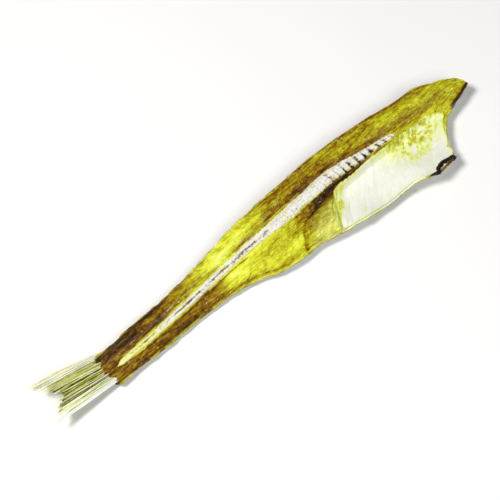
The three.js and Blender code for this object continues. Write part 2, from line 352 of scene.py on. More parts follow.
def flesh_tone(x, y, to_edge, relief):
    """How light the flesh is, from 0 to 1."""
    place = across(x, y)
    side = y - spine_y(x)
    half = np.sign(side)  # 1 on the back's half of the cut face and -1 on the belly's
    tone = TONE_LANES[0][1](x)
    for (below, _), (above, lane_tone) in zip(TONE_LANES, TONE_LANES[1:]):
        tone = lerp(tone, lane_tone(x), smoothstep(place, below, above))
    bundles, strands, fibres = relief
    pools = 0.13 * noise(x / 4.5, y / 1.1, 56) + 0.08 * noise(x / 1.6, y / 0.55, 65)
    slanting = noise((x + 1.1 * np.abs(side)) / 0.55, 2.2 * place + x / 15, 108)
    # The tone follows the relief: lighter on the crests of the bundles and fibres and darker between them,
    # partly browner flesh and partly painted light and shade.
    tone = tone + pools + 0.07 * bundles + 0.05 * strands + 0.03 * fibres + 0.035 * slanting

    # A dark and a light line run along the backbone: the dark one is partly painted shade beside the raised
    # bone, and the light one partly a painted highlight along its edge.
    from_bone = np.abs(side) - backbone_radius(x)
    dark = near(from_bone - 0.26, 0.16) * smoothstep(x, 64, 60)
    tone = lerp(tone, 0.17, 0.7 * dark * blotches(x / 2.2, half, 57, -0.4, 0.4))
    light = near(from_bone - 0.05, 0.11) * smoothstep(x, 50, 44) * smoothstep(x, 11.5, 15)
    tone = lerp(tone, 0.90, 0.75 * light * blotches(x / 1.4, half * 3, 64, -0.9, -0.1))

    # The seam behind the vent is darkest at its front, with brown flesh around it.
    seam = distance_to(VENT_SEAM, x, y) + 0.25 * noise(x / 0.5, y / 0.9, 58)
    front = smoothstep(x, 43.5, 47) * smoothstep(x, 58, 54)
    tone = lerp(tone, 0.10, lerp(0.36, 0.95, front) * near(positive(seam - 0.1), 0.16 + 0.42 * front))
    tone = lerp(tone, 0.28, 0.6 * near(seam - 0.8, 0.6) * smoothstep(x, 41, 44) * smoothstep(x, 53, 49))
    stripe = near(place - 0.16, 0.13) * smoothstep(x, 58, 62) * smoothstep(x, 75, 69)
    tone = lerp(tone, 0.42, 0.6 * stripe)

    # The rims are light, partly a painted highlight along the edges, with a darker line inside them.
    rim = near(to_edge - 0.05, 0.10) * blotches(x / 1.2, half * 9, 59, -0.7, 0.0)
    tone = lerp(tone, 0.88, 0.8 * rim)
    tone = tone - 0.20 * near(to_edge - 0.42, 0.16) * blotches(x / 2.6, half * 5, 60, -0.5, 0.3)

    # Silver threads lead up to the belly cavity, the flesh is darker along the gut, and the cut of the neck
    # is darkened with painted shade.
    lane, length = wall_fibres(x, y)
    threads = noise(lane / 0.22, length / 2.0, 68) + 0.6 * noise(lane / 0.7, length / 1.5, 69)
    by_cavity = near(x - cavity_rear(y) + 0.9, 1.2)
    tone = lerp(tone, 0.95, 0.55 * smoothstep(threads, 0.0, 0.8) * by_cavity * smoothstep(-2.0 - y, 0, 0.8))
    tone = lerp(tone, 0.12, near(positive(distance_to(UNDER_GUT, x, y) - 0.5), 0.4))
    # Painted shade: the cut face at the neck is darkened to the darkest tone.
    painted_cut_shade = near(positive(from_belly(x, y) - 0.22), 0.20)
    return np.clip(lerp(tone, 0.0, painted_cut_shade * smoothstep(x, *NECK_CUT)), 0, 1)


def milkiness(x, y):
    """1 where the flesh is cloudy and pale, between the seam behind the vent and the belly cavity."""
    behind = x - (42.6 + 0.55 * (y + 3.8)) + 0.5 * noise(x / 1.1, y / 0.8, 61)
    below = -1.9 - y + 0.3 * noise(x / 0.9, y / 0.6, 67)
    return smoothstep(behind, 0, 1.6) * smoothstep(below, 0, 1.4) * smoothstep(x, 64, 58)


def silvering(x, y):
    """1 where the belly wall is silver white. Rearwards it fades out in streaks along the fibres."""
    lane, length = wall_fibres(x, y)
    streaks = 0.9 * noise(lane / 0.30, length / 2.2, 114) + 0.5 * noise(x / 0.7, y / 0.6, 115)
    streaks = streaks + 0.4 * wobble(length / 2.4, 116)
    return smoothstep(lane + streaks, 37.2, 38.9)


def ragged(x, amount, seed):
    """Unevenness of a dried edge: shallow scallops with a nick here and there."""
    nicks = positive(noise(x / 0.9, seed, seed + 1) - 0.5) * 2.2
    return amount * (0.6 * wobble(x / 1.3, seed) + 0.4 * wobble(x / 0.45, seed + 2) + nicks)


def back_rim(x):
    return back_edge(x) - ragged(x, 0.13, 21) - 0.28 * near(x - 71.5, 0.25)


def belly_rim(x):
    torn = smoothstep(x, 46, 50) * smoothstep(x, 75, 70)
    return belly_edge(x) + ragged(x, 0.12, 31) + torn * ragged(x, 0.12, 41)


# ---------------------------------------- meshes


def in_frame(points):
    """Points in millimetres in the fish's own axes, as metres in the row's frame."""
    return (np.asarray(points, float).reshape(-1, 3) - ORIGIN) * MM


def grid_quads(index, closed=False):
    """Quads of a grid of vertex numbers; closed joins its last column to its first."""
    if closed:
        index = np.concatenate([index, index[:, :1]], axis=1)
    return np.stack([index[:-1, :-1], index[:-1, 1:], index[1:, 1:], index[1:, :-1]], axis=-1).reshape(-1, 4)


def rim_faces(first, second):
    """Faces between two rows of vertex numbers, which may differ in length."""
    if len(first) < len(second):
        return [face[::-1] for face in rim_faces(second, first)]
    partner = second[np.floor(np.linspace(0, len(second) - 1, len(first)) + 0.5).astype(int)].tolist()
    first = first.tolist()
    return [
        [here, there, after] if after == before else [here, there, after, before]
        for here, there, before, after in zip(first, first[1:], partner, partner[1:])
    ]


def shell(upper, lower):
    """Points and faces of a closed shell between two grids of points with as many rows."""
    rows, columns = upper.shape[:2]
    over = np.arange(rows * columns).reshape(rows, columns)
    under = over.size + np.arange(lower.shape[0] * lower.shape[1]).reshape(lower.shape[:2])
    faces = [*grid_quads(over).tolist(), *grid_quads(under)[:, ::-1].tolist()]
    for side, order in ((0, 1), (-1, -1)):
        wall = np.stack([over[:-1, side], over[1:, side], under[1:, side], under[:-1, side]], axis=-1)
        faces.extend(wall[:, ::order].tolist())
    faces.extend(face[::-1] for face in rim_faces(over[0], under[0]))
    faces.extend(rim_faces(over[-1], under[-1]))
    return np.concatenate([upper.reshape(-1, 3), lower.reshape(-1, 3)]), faces


def make_shell(name, upper, lower, material, **attributes):
    """A closed shell between two grids of points; an attribute has values for the upper and the lower."""
    points, faces = shell(upper, lower)
    for key, values in attributes.items():
        grids = [np.broadcast_to(numbers, grid.shape[:2]) for numbers, grid in zip(values, (upper, lower))]
        attributes[key] = np.concatenate([numbers.ravel() for numbers in grids])
    make_piece(name, points, faces, material, **attributes)


def tube_faces(rings, sides, first=0):
    """Faces of a closed tube of rings of points, with a cap on each end."""
    index = first + np.arange(rings * sides).reshape(rings, sides)
    return [*grid_quads(index, closed=True).tolist(), index[0, ::-1].tolist(), index[-1].tolist()]


def sweep(path, widths, heights, sides):
    """Rings of points round a path."""
    path = np.asarray(path, float)
    heading = np.gradient(path, axis=0)
    side = np.stack([-heading[:, 1], heading[:, 0], np.zeros(len(path))], axis=-1)
    side /= np.maximum(np.linalg.norm(side, axis=1, keepdims=True), 1e-9)
    angle = np.linspace(0, 2 * np.pi, sides, endpoint=False)
    rings = path[:, None, :] + side[:, None, :] * (np.cos(angle) * widths)[..., None]
    rings[..., 2] += np.sin(angle) * heights
    return rings


class Strands:
    """Thin tapering strands, gathered into one mesh."""

    def __init__(self, sides):
        self.sides = sides
        self.points = []
        self.faces = []
        self.tones = []
        self.count = 0

    def add(self, path, radii, tone, flatness=1.0):
        """A strand along a path of points; flatness is its height over its width."""
        radii = np.asarray(radii, float)[:, None]
        self.add_rings(sweep(path, radii, radii * flatness, self.sides), tone)

    def add_rings(self, rings, tone):
        """A strand of rings of points, with one tone for it all or one for each ring."""
        self.points.append(rings.reshape(-1, 3))
        self.faces.extend(tube_faces(len(rings), self.sides, self.count))
        self.tones.append(np.broadcast_to(np.asarray(tone, float).reshape(-1, 1), rings.shape[:2]).ravel())
        self.count += rings.shape[0] * self.sides

    def build(self, name, material):
        make_piece(name, np.concatenate(self.points), self.faces, material, tone=np.concatenate(self.tones))


def make_piece(name, points, faces, material, **attributes):
    """A smooth mesh from points in the fish's own axes, with one number a vertex for each attribute."""
    if not np.all(np.isfinite(points)):
        raise ValueError(f"{name}: a point of its surface has no place")
    mesh = bpy.data.meshes.new(name)
    mesh.from_pydata(in_frame(points).tolist(), [], faces)
    mesh.polygons.foreach_set("use_smooth", np.ones(len(mesh.polygons), bool))
    for key, values in attributes.items():
        layer = mesh.attributes.new(key, "FLOAT", "POINT")
        layer.data.foreach_set("value", np.asarray(values, float).ravel().astype(np.float32))
    mesh.materials.append(material)
    mesh.validate()
    piece = bpy.data.objects.new(name, mesh)
    bpy.context.scene.collection.objects.link(piece)
    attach(piece, "root")
    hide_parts(NODE)


# ---------------------------------------- materials


def srgb(red, green, blue):
    """A screen colour, 0 to 255, as the linear colour that Blender works in."""
    shares = (red / 255, green / 255, blue / 255)
    return tuple(c / 12.92 if c <= 0.04045 else ((c + 0.055) / 1.055) ** 2.4 for c in shares)


NOISE_SPAN = (0.3, 0.7)  # where nearly all the values of a noise texture lie
DRIED = {  # what most of the dried pieces set on their shader
    "Subsurface Weight": 0.1, "Subsurface Scale": 0.3 * MM, "Specular IOR Level": 0.35, "Coat Weight": 0.15,
}
FLESH_STOPS = {
    "crack": 0.00, "dark_brown": 0.12, "brown": 0.28, "amber": 0.43,
    "olive": 0.57, "lime": 0.72, "yellow": 0.86, "pale": 1.00,
}


class Finish:
    """A material under construction. Each method adds shader nodes and returns what comes out of them."""

    def __init__(self, name, colours):
        self.colours = colours
        self.material = bpy.data.materials.new(name)
        self.material.use_nodes = True
        self.nodes = self.material.node_tree.nodes
        self.place = self.node("TexCoord", "Object")

    def feed(self, node, inputs):
        for key, value in inputs.items():
            if isinstance(value, bpy.types.NodeSocket):
                self.material.node_tree.links.new(value, node.inputs[key])
            else:
                node.inputs[key].default_value = value

    def node(self, kind, output, inputs=None, **settings):
        """A node with these inputs, by name or number, and with settings of its own."""
        node = self.nodes.new("ShaderNode" + kind)
        for key, value in settings.items():
            setattr(node, key, value)
        self.feed(node, inputs or {})
        return node.outputs[output]

    def vertex(self, name):
        return self.node("Attribute", "Fac", attribute_name=name)

    def math(self, operation, first, second):
        return self.node("Math", 0, {0: first, 1: second}, operation=operation)

    def add(self, first, second):
        return self.math("ADD", first, second)

    def times(self, first, second):
        return self.math("MULTIPLY", first, second)

    def grains(self, size, turn=0.0):
        """Places for a texture with grains of this size in millimetres along X, Y and Z, turned about Z."""
        scale = tuple(side * MM for side in size)
        inputs = {"Vector": self.place, "Scale": scale, "Rotation": (0, 0, turn)}
        return self.node("Mapping", 0, inputs, vector_type="TEXTURE")

    def noise(self, size, detail=3.0, roughness=0.55, distortion=0.0, turn=0.0):
        return self.node("TexNoise", "Fac", {
            "Vector": self.grains(size, turn), "Scale": 1.0, "Detail": detail, "Roughness": roughness,
            "Distortion": distortion,
        })

    def cells(self, size):
        return self.node("TexVoronoi", "Distance", {"Vector": self.grains(size), "Scale": 1.0})

    def remap(self, value, low, high, to_low=0.0, to_high=1.0):
        return self.node("MapRange", 0, {
            "Value": value, "From Min": low, "From Max": high, "To Min": to_low, "To Max": to_high,
        })

    def spread(self, texture, low, high):
        """The usual span of a noise texture, as values from low to high."""
        return self.remap(texture, *NOISE_SPAN, low, high)

    def vary(self, tone, *layers):
        """The tone with each (texture, amount) added, which makes it that much lighter or darker at most."""
        for texture, amount in layers:
            tone = self.add(tone, self.spread(texture, -amount, amount))
        return tone

    def ramp(self, value, **stops):
        """A colour from the named colours, each at its place from 0 to 1."""
        node = self.nodes.new("ShaderNodeValToRGB")
        elements = node.color_ramp.elements
        while len(elements) < len(stops):
            elements.new(1.0)
        for element, (name, position) in zip(elements, stops.items()):
            element.position = position
            element.color = (*getattr(self.colours, name), 1)
        self.feed(node, {0: value})
        return node.outputs["Color"]

    def mix(self, share, first, second):
        return self.node("Mix", 2, {"Factor": share, 6: first, 7: second}, data_type="RGBA")

    def bump(self, height, depth):
        """Relief of that depth in millimetres."""
        return self.node("Bump", "Normal", {"Strength": 1.0, "Distance": depth * MM, "Height": height})

    def done(self, colour, roughness, normal, **sockets):
        """Joins the shader up. sockets holds what is the same all over, under the shader's own names."""
        inputs = {"Base Color": colour, "Roughness": roughness, "Normal": normal, **DRIED}
        inputs.update({key.replace("_", " "): value for key, value in sockets.items()})
        self.feed(self.nodes["Principled BSDF"], inputs)
        return self.material


def flesh_finish(colours):
    """Glassy dried muscle: amber and olive, with long fibres, dark pools and a thin gloss."""
    f = Finish("dried_flesh", colours)
    streaks = f.noise((2.2, 0.24, 0.4), 5.0, 0.62, distortion=0.4)
    hairs = f.noise((0.8, 0.06, 0.14), 3.0, 0.6)
    grain = f.noise((0.24, 0.16, 0.2), 4.0, 0.62)
    curds = f.noise((0.8, 0.42, 0.6), 4.0, 0.65)
    mottling = f.vary(0.0, (streaks, 0.15), (hairs, 0.05), (curds, 0.14), (grain, 0.09))
    strength = f.remap(f.vertex("tone"), 0.45, 0.80, 1.2, 0.62)  # bright flesh is plainer than brown flesh
    tone = f.add(f.vertex("tone"), f.times(mottling, strength))
    tone = f.add(tone, f.remap(f.noise((0.34, 0.13, 0.2), 2.0), 0.63, 0.71, 0.0, 0.32))  # pale specks: partly flakes, partly painted glints
    cracks = f.remap(f.noise((1.6, 0.2, 0.5), 4.0, distortion=0.8), 0.30, 0.39, 0.45, 0.0)
    tone = f.math("SUBTRACT", tone, f.times(cracks, f.vertex("cracked")))
    colour = f.ramp(tone, **FLESH_STOPS)
    colour = f.mix(f.times(f.vertex("milky"), 0.7), colour, f.ramp(tone, olive=0.2, cloudy=0.55, pale=0.9))
    colour = f.mix(f.times(f.vertex("silvered"), 0.9), colour, f.ramp(tone, worn=0.25, cream=0.5, silver=0.8))
    height = f.add(f.times(hairs, 0.5), f.add(streaks, f.times(grain, 0.6)))
    return f.done(
        colour, f.spread(grain, 0.32, 0.56), f.bump(height, 0.07),
        Subsurface_Weight=0.15, Subsurface_Radius=(1.0, 0.6, 0.1), Subsurface_Scale=0.35 * MM,
        Specular_IOR_Level=0.3, Specular_Tint=(1.0, 0.85, 0.4, 1.0), Coat_Weight=0.2, Coat_Roughness=0.12,
    )


def bone_finish(colours):
    """Dry backbone: lilac white and pitted, dark in the clefts and stained yellow in places."""
    f = Finish("backbone_bone", colours)
    scratch = f.noise((0.9, 0.09, 0.16), 4.0, 0.7)
    speck = f.noise((0.34, 0.22, 0.25), 4.0, 0.7)
    tone = f.vary(f.vertex("tone"), (scratch, 0.22), (speck, 0.30))
    clean = f.ramp(tone, crack=0.0, dark_brown=0.18, bone_shade=0.36, bone=0.64, white=1.0)
    stained = f.ramp(tone, crack=0.0, olive=0.3, yellow=0.6, pale=1.0)
    stain = f.add(f.vertex("stain"), f.remap(f.noise((1.3, 0.5, 0.6)), 0.5, 0.7, 0.0, 0.5))
    return f.done(
        f.mix(stain, clean, stained), f.spread(speck, 0.4, 0.65), f.bump(f.add(scratch, speck), 0.10),
        Subsurface_Radius=(1.0, 0.9, 0.7), Coat_Roughness=0.2,
    )


def lining_finish(colours):
    """Pearly lining of the belly: white fibres over yellow flesh, worn through in places."""
    f = Finish("belly_lining_silver", colours)
    threads = f.noise((0.45, 0.12, 0.3), 5.0, 0.7, 0.8, FIBRE_ANGLE)
    mottle = f.noise((0.8, 0.55, 0.8), 6.0, 0.7, 0.5, FIBRE_ANGLE)
    grain = f.noise((0.22, 0.16, 0.2), 4.0, 0.6)
    tone = f.vary(f.vertex("tone"), (threads, 0.09), (mottle, 0.10), (grain, 0.07))
    colour = f.ramp(tone, brown=0.0, olive=0.13, worn=0.27, straw=0.42, cream=0.56, silver=0.72, white=0.95)
    return f.done(
        colour, f.spread(grain, 0.38, 0.6), f.bump(f.add(threads, mottle), 0.06),
        Subsurface_Radius=(1.0, 0.9, 0.5), Coat_Roughness=0.22,
    )


def skin_finish(colours):
    """Dried skin without scales: dark along the back, a silver band along the flank and a pale belly."""
    f = Finish("dried_skin", colours)
    pocket = f.cells((0.9, 0.6, 0.8))
    wear = f.noise((2.8, 1.2, 1.6), 6.0, 0.68)
    grain = f.noise((0.35, 0.11, 0.2), 4.0, 0.6)
    tone = f.vary(f.vertex("tone"), (wear, 0.2), (grain, 0.08))
    tone = f.add(tone, f.remap(pocket, 0.0, 0.8, 0.05, -0.07))
    colour = f.ramp(tone, skin_dark=0.0, brown=0.2, olive=0.36, skin_shade=0.52, skin_silver=0.72, white=1.0)
    return f.done(
        colour, f.spread(wear, 0.26, 0.46), f.bump(f.add(grain, f.times(pocket, 0.7)), 0.05),
        Metallic=0.25, Subsurface_Weight=0.08, Subsurface_Radius=(1.0, 0.8, 0.4), Specular_IOR_Level=0.5,
        Coat_Weight=0.3, Coat_Roughness=0.18,
    )


def fin_finish(colours):
    """Dry fin rays and web: silvery straw with dark streaks."""
    f = Finish("tail_fin_horn", colours)
    streaks = f.noise((1.2, 0.13, 0.3), 5.0, 0.7)
    tone = f.vary(f.vertex("tone"), (streaks, 0.22))
    colour = f.ramp(tone, crack=0.0, fin_dark=0.2, fin_shade=0.44, fin_pale=0.64, silver=0.84, white=1.0)
    return f.done(
        colour, f.spread(streaks, 0.36, 0.56), f.bump(streaks, 0.04),
        Subsurface_Weight=0.15, Subsurface_Radius=(1.0, 0.85, 0.4), Coat_Roughness=0.2,
    )


def shred_finish(colours):
    """Loose dried fibres and chips: silver to brown, each its own tone."""
    f = Finish("loose_shreds", colours)
    streaks = f.noise((0.5, 0.5, 0.5), 4.0, 0.7)
    tone = f.vary(f.vertex("tone"), (streaks, 0.1))
    return f.done(
        f.ramp(tone, **{**FLESH_STOPS, "pale": 0.93, "silver": 1.0}), 0.4, f.bump(streaks, 0.02),
        Subsurface_Radius=(1.0, 0.8, 0.3), Coat_Roughness=0.18,
    )


def gut_finish(colours):
    """Black dried gut and blood, leathery with a wet-looking shine."""
    f = Finish("dried_gut", colours)
    lumps = f.noise((0.4, 0.4, 0.4), 5.0, 0.6)
    colour = f.ramp(f.vary(f.vertex("tone"), (lumps, 0.3)), gut=0.2, crack=0.5, dark_brown=0.75, brown=1.0)
    return f.done(
        colour, f.spread(lumps, 0.4, 0.65), f.bump(lumps, 0.08),
        Subsurface_Weight=0.0, Specular_IOR_Level=0.25, Coat_Roughness=0.14,
    )


def floor_finish(colours):
    """Matt white, with faint clouds."""
    f = Finish("pale_table", colours)
    cloud = f.noise((50, 50, 50), 2.0)
    shade, light = ((*(share * c for c in colours.floor), 1) for share in (0.97, 1.0))
    return f.done(
        f.mix(f.spread(cloud, 0.0, 1.0), shade, light), 0.75, f.bump(cloud, 0.01),
        Subsurface_Weight=0.0, Specular_IOR_Level=0.2, Coat_Weight=0.0,
    )


# ---------------------------------------- the pieces

ROOT_TOP = 0.36  # the flesh thins to these heights over the skin, at the root of the tail fin
ROOT_BASE = 0.30
ROOT_TAPER = 0.9
SKIN_OVERHANG = 0.06  # how far the skin stands out past the flesh
LINING_UPPER_X = (49.2, 69.2)  # where the lining starts and ends under the backbone
LINING_LOWER_X = (44.8, 64.9)  # and at the edge of the belly


def columns_between(back, belly, count, crowding):
    """Y of the columns of a grid from the back to the belly; crowding draws them towards both edges."""
    even = np.linspace(0, 1, count)[None, :]
    return lerp(back, belly, lerp(even, 0.5 - 0.5 * np.cos(np.pi * even), crowding))


def edge_gap(x, y):
    """Distance to the nearer edge of the flesh."""
    return np.minimum(from_back(x, y), from_belly(x, y))


def skin_curl(x, y):
    """How far the skin turns up along its edges."""
    height, width = 0.20, 0.16
    return height * near(positive(edge_gap(x, y)), width) * (0.7 + 0.6 * noise(x / 1.1, np.sign(y), 91))


def frayed_end(x, y):
    """How far fringes of flesh run out over the roots of the fin rays."""
    strips = 0.9 + 0.8 * wobble(y / 0.40, 66) + 0.3 * wobble(y / 0.16, 109)
    return 0.9 * positive(strips) * np.exp(-(x - TAIL_ROOT_X) / 0.6)


def build_flesh(sizes, colours):
    """The muscle from the cut face to the skin, with its fibres, seams, raised rims and frayed tail end."""
    rows, columns, under_columns = 820, 96, 24
    stations = np.linspace(TAIL_ROOT_X, NECK_TIP_X, rows)[:, None]
    back, belly = back_rim(stations), belly_rim(stations)
    x, y = np.broadcast_arrays(stations, columns_between(back, belly, columns, 0.5))
    under, top = faces_at(x, y)
    to_edge = edge_gap(x, y)
    inner = smoothstep(to_edge, 0.05, 0.55)
    muscle = 1 - 0.85 * cavity(x, y)
    relief = fibre_bundles(x, y)
    bundles, strands, fibres = relief
    seams = segment_seams(x, y, sizes.vertebra_pitch / MM)
    height = sizes.fibre_relief / MM * (1.3 * bundles + 0.6 * strands + 0.2 * fibres)
    height = height - sizes.seam_depth / MM * seams
    side = y - spine_y(x)
    lip = near(np.abs(side) - backbone_radius(x) - 0.12, 0.26) * smoothstep(x, 64, 61) * (1 - cavity(x, y))
    lip = lip * (0.05 + 0.28 * positive(noise(x / 1.3, np.sign(side) * 7, 62)) + 0.15 * smoothstep(x, 51, 56))
    sunken = 0.14 * near(to_edge - 0.95, 0.45) * muscle
    rim = 0.15 * near(to_edge - 0.20, 0.18) * (0.6 + 0.6 * noise(x / 1.4, np.sign(side), 63))
    top = top + inner * muscle * height + rim * smoothstep(to_edge, 0, 0.15) - sunken + lip
    clear = 1.3 * sizes.skin_thickness / MM
    top = np.maximum(top, under + skin_curl(x, y) + clear + 0.03)
    top = lerp(skin_height(x, y) + ROOT_TOP, top, smoothstep(x, TAIL_ROOT_X, TAIL_ROOT_X + ROOT_TAPER))

    milky = milkiness(x, y)
    mottled = blotches(x / 0.6, y / 0.32, 117, 0, 0.6) * smoothstep(y, -5.4, -3.2)
    # The seams between the segments are darker, partly painted shade in their grooves.
    tone = flesh_tone(x, y, to_edge, relief) - 0.07 * seams * inner * muscle - milky * (0.08 + 0.24 * mottled)
    cracked = smoothstep(to_edge, 0.1, 0.5) * muscle * (0.15 + 0.85 * smoothstep(0.6 - tone, 0, 0.3))

    base_x, base_y = np.broadcast_arrays(stations, columns_between(back, belly, under_columns, 0.95))
    base = faces_at(base_x, base_y)[0] + skin_curl(base_x, base_y) + clear
    from_root = smoothstep(base_x, TAIL_ROOT_X, TAIL_ROOT_X + ROOT_TAPER)
    base = lerp(skin_height(base_x, base_y) + ROOT_BASE, base, from_root)
    upper = np.stack([x - frayed_end(x, y), y, top], -1)
    lower = np.stack([base_x - frayed_end(base_x, base_y), base_y, base], -1)
    make_shell(
        "anchovy_flesh", upper, lower, flesh_finish(colours),
        tone=(tone, 0.4), cracked=(cracked, 0), milky=(milky, 0), silvered=(milky * silvering(x, y), 0),
    )


def build_backbone(_sizes, colours):
    """The front of the backbone shows its vertebrae; towards the tail a groove runs along a smooth band."""
    steps, sides = VERTEBRAE * 15, 36
    pitch = (SPINE_TO_X - SPINE_FROM_X) / VERTEBRAE
    x = np.linspace(SPINE_FROM_X - 0.5, SPINE_TO_X, steps)[:, None]
    angle = np.linspace(0, 2 * np.pi, sides, endpoint=False)[None, :]
    level, upward = np.cos(angle), np.sin(angle)  # level is 1 towards the back and -1 towards the belly
    radius = backbone_radius(x)
    number = (x - SPINE_FROM_X) / pitch + 0.10 * level + 0.16 * noise(x / 1.3, angle, 70)
    joint = np.round(number)
    to_joint = np.abs(number - joint)
    front = smoothstep(x, 46, 55)
    strength = 0.70 + 0.5 * wobble(joint * 2.37, 71) + 0.4 * noise(joint * 3.7, level * 1.6, 72)
    bellied = lerp(0.35, 1, smoothstep(-level, -0.5, 0.5))
    cleft = near(to_joint, lerp(0.08, 0.17, front)) * lerp(0.2, 1, front) * np.clip(strength, 0, 1) * bellied
    waist = lerp(0.02, 0.10, front) * smoothstep(to_joint, 0.14, 0.5)
    wander = 0.10 * wobble(x / 2.5, 73)
    broken = smoothstep(wobble(x / 0.8, 79), -0.5, 0.4)
    groove = near(level - wander, 0.17) * (upward > 0) * lerp(0.4, 1, broken)
    groove = groove * smoothstep(x, 12, 16) * smoothstep(x, 43, 35)
    pits = 0.05 * noise(x / 0.35, angle * 3, 74) + 0.06 * noise(x / 1.4, angle * 2, 75)
    blocks = 0.07 * wobble(joint * 1.7, 77) * front
    ends = smoothstep(x, SPINE_FROM_X - 0.5, SPINE_FROM_X + 0.6) * smoothstep(SPINE_TO_X + 0.01 - x, 0, 0.12)
    reach = radius * (1 - waist - 0.30 * cleft - 0.26 * groove + pits + blocks) * np.maximum(ends, 0.02)
    flat = 0.75  # below 1 squares the round section off
    y = spine_y(x) + reach * np.sign(level) * np.abs(level) ** flat
    bed = faces_at(x, spine_y(x))[1] - 0.08 * smoothstep(x, 53, 58) - 0.30 * smoothstep(x, 59, SPINE_TO_X)
    z = bed + 0.05 * radius + 0.68 * reach * np.sign(upward) * np.abs(upward) ** flat
    tone = 0.75 - 0.62 * groove - 1.0 * cleft + 0.16 * noise(x / 1.8, level * 4, 76) + 0.9 * blocks
    # The front vertebrae are darker along both sides, and the bone is darker low on its sides where it meets
    # the flesh: painted shade on the rounded sides, partly dark marks along the lower edge.
    tone = tone - 0.24 * front * smoothstep(-level, 0.4, 0.95) - 0.12 * front * smoothstep(level, 0.5, 1.0)
    tone = tone - 0.25 * smoothstep(0.25 - upward, 0, 0.4) * smoothstep(x, 30, 44)
    stain = smoothstep(np.abs(level), 0.60, 0.95) * blotches(x / 1.5, np.sign(level), 78, -0.6, 0.2)
    stain = np.maximum(stain * smoothstep(x, 56, 48), 0.7 * smoothstep(x, 22, 14))
    points = np.stack(np.broadcast_arrays(x, y, z), -1)
    make_piece(
        "anchovy_backbone", points.reshape(-1, 3), tube_faces(steps, sides), bone_finish(colours),
        tone=np.clip(tone, 0, 1), stain=np.clip(stain, 0, 1),
    )


def follow(points, t):
    """A smooth path through a few points, at t from 0 to 1."""
    points = np.array(points, float)
    steps = np.linspace(0, 1, len(points))
    return [through(list(zip(steps, points[:, k])))(t) for k in range(points.shape[1])]


def patch(upper, lower, rear, front, u, v):
    """Points of the surface between four lines: u runs from rear to front, v from upper to lower."""
    zero, one = np.zeros_like(u), np.ones_like(u)
    ends = [upper(zero), upper(one), lower(zero), lower(one)]
    edges = [upper(u), lower(u), rear(v), front(v)]
    return [
        (1 - v) * edges[0][k] + v * edges[1][k] + (1 - u) * edges[2][k] + u * edges[3][k]
        - (1 - v) * ((1 - u) * ends[0][k] + u * ends[1][k]) - v * ((1 - u) * ends[2][k] + u * ends[3][k])
        for k in range(2)
    ]


def draped(x, y):
    """Height of the cut face under a sheet that bridges its steps."""
    around = [faces_at(x + dx, y)[1] for dx in (-1.8, -1.2, -0.6, 0.6, 1.2, 1.8)]
    return np.maximum(faces_at(x, y)[1], sum(around) / len(around))


